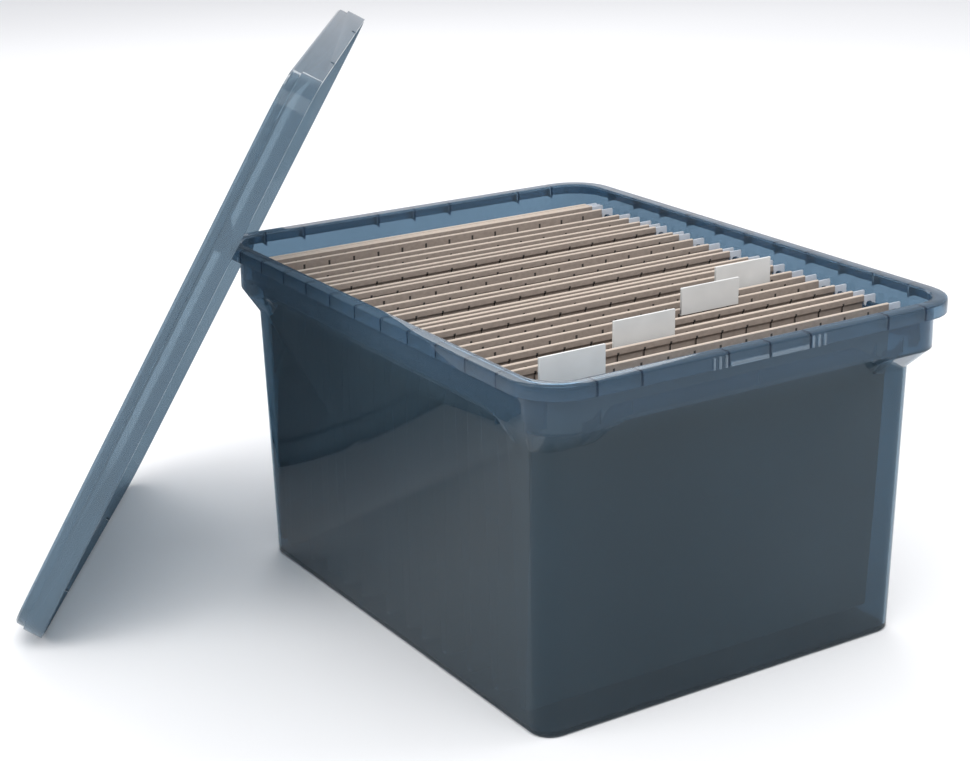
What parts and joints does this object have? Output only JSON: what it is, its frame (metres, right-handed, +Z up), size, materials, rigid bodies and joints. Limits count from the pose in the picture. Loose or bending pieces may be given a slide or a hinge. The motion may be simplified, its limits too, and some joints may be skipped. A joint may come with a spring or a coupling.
{
  "type": "plastic file tote",
  "caption": "Open smoky blue plastic file tote full of hanging folders with index tabs, its lid taken off and leaned against one rim corner.",
  "frame": {"origin": "middle of the underside of the tote body, on the floor", "axes": "+Z up; +X along the short side to the right when the front is faced; the front with the grip marks faces -Y; the lid leans on the back left corner"},
  "size_m": [0.5751, 0.6499, 0.4203],
  "materials": {
    "smoke_blue_plastic": "translucent moulded polypropylene, satin gloss",
    "taupe_card": "matt card",
    "white_coated_steel": "white coating",
    "white_tab_plastic": "white, slightly glossy",
    "white_insert_paper": "matt paper"
  },
  "bodies": {
    "root": {"tote_body": "smoke_blue_plastic", "lid": "smoke_blue_plastic", "folder_01": "taupe_card", "folder_02": "taupe_card", "folder_03": "taupe_card", "folder_04": "taupe_card", "folder_05": "taupe_card", "folder_06": "taupe_card", "folder_07": "taupe_card", "folder_08": "taupe_card", "folder_09": "taupe_card", "folder_10": "taupe_card", "folder_11": "taupe_card", "folder_12": "taupe_card", "folder_13": "taupe_card", "rod_01_back": "white_coated_steel", "rod_01_front": "white_coated_steel", "rod_02_back": "white_coated_steel", "rod_02_front": "white_coated_steel", "rod_03_back": "white_coated_steel", "rod_03_front": "white_coated_steel", "rod_04_back": "white_coated_steel", "rod_04_front": "white_coated_steel", "rod_05_back": "white_coated_steel", "rod_05_front": "white_coated_steel", "rod_06_back": "white_coated_steel", "rod_06_front": "white_coated_steel", "rod_07_back": "white_coated_steel", "rod_07_front": "white_coated_steel", "rod_08_back": "white_coated_steel", "rod_08_front": "white_coated_steel", "rod_09_back": "white_coated_steel", "rod_09_front": "white_coated_steel", "rod_10_back": "white_coated_steel", "rod_10_front": "white_coated_steel", "rod_11_back": "white_coated_steel", "rod_11_front": "white_coated_steel", "rod_12_back": "white_coated_steel", "rod_12_front": "white_coated_steel", "rod_13_back": "white_coated_steel", "rod_13_front": "white_coated_steel", "tab_1": "white_tab_plastic", "tab_2": "white_tab_plastic", "tab_3": "white_tab_plastic", "tab_4": "white_tab_plastic", "tab_insert_1": "white_insert_paper", "tab_insert_2": "white_insert_paper", "tab_insert_3": "white_insert_paper", "tab_insert_4": "white_insert_paper"}
  },
  "joints": []
}
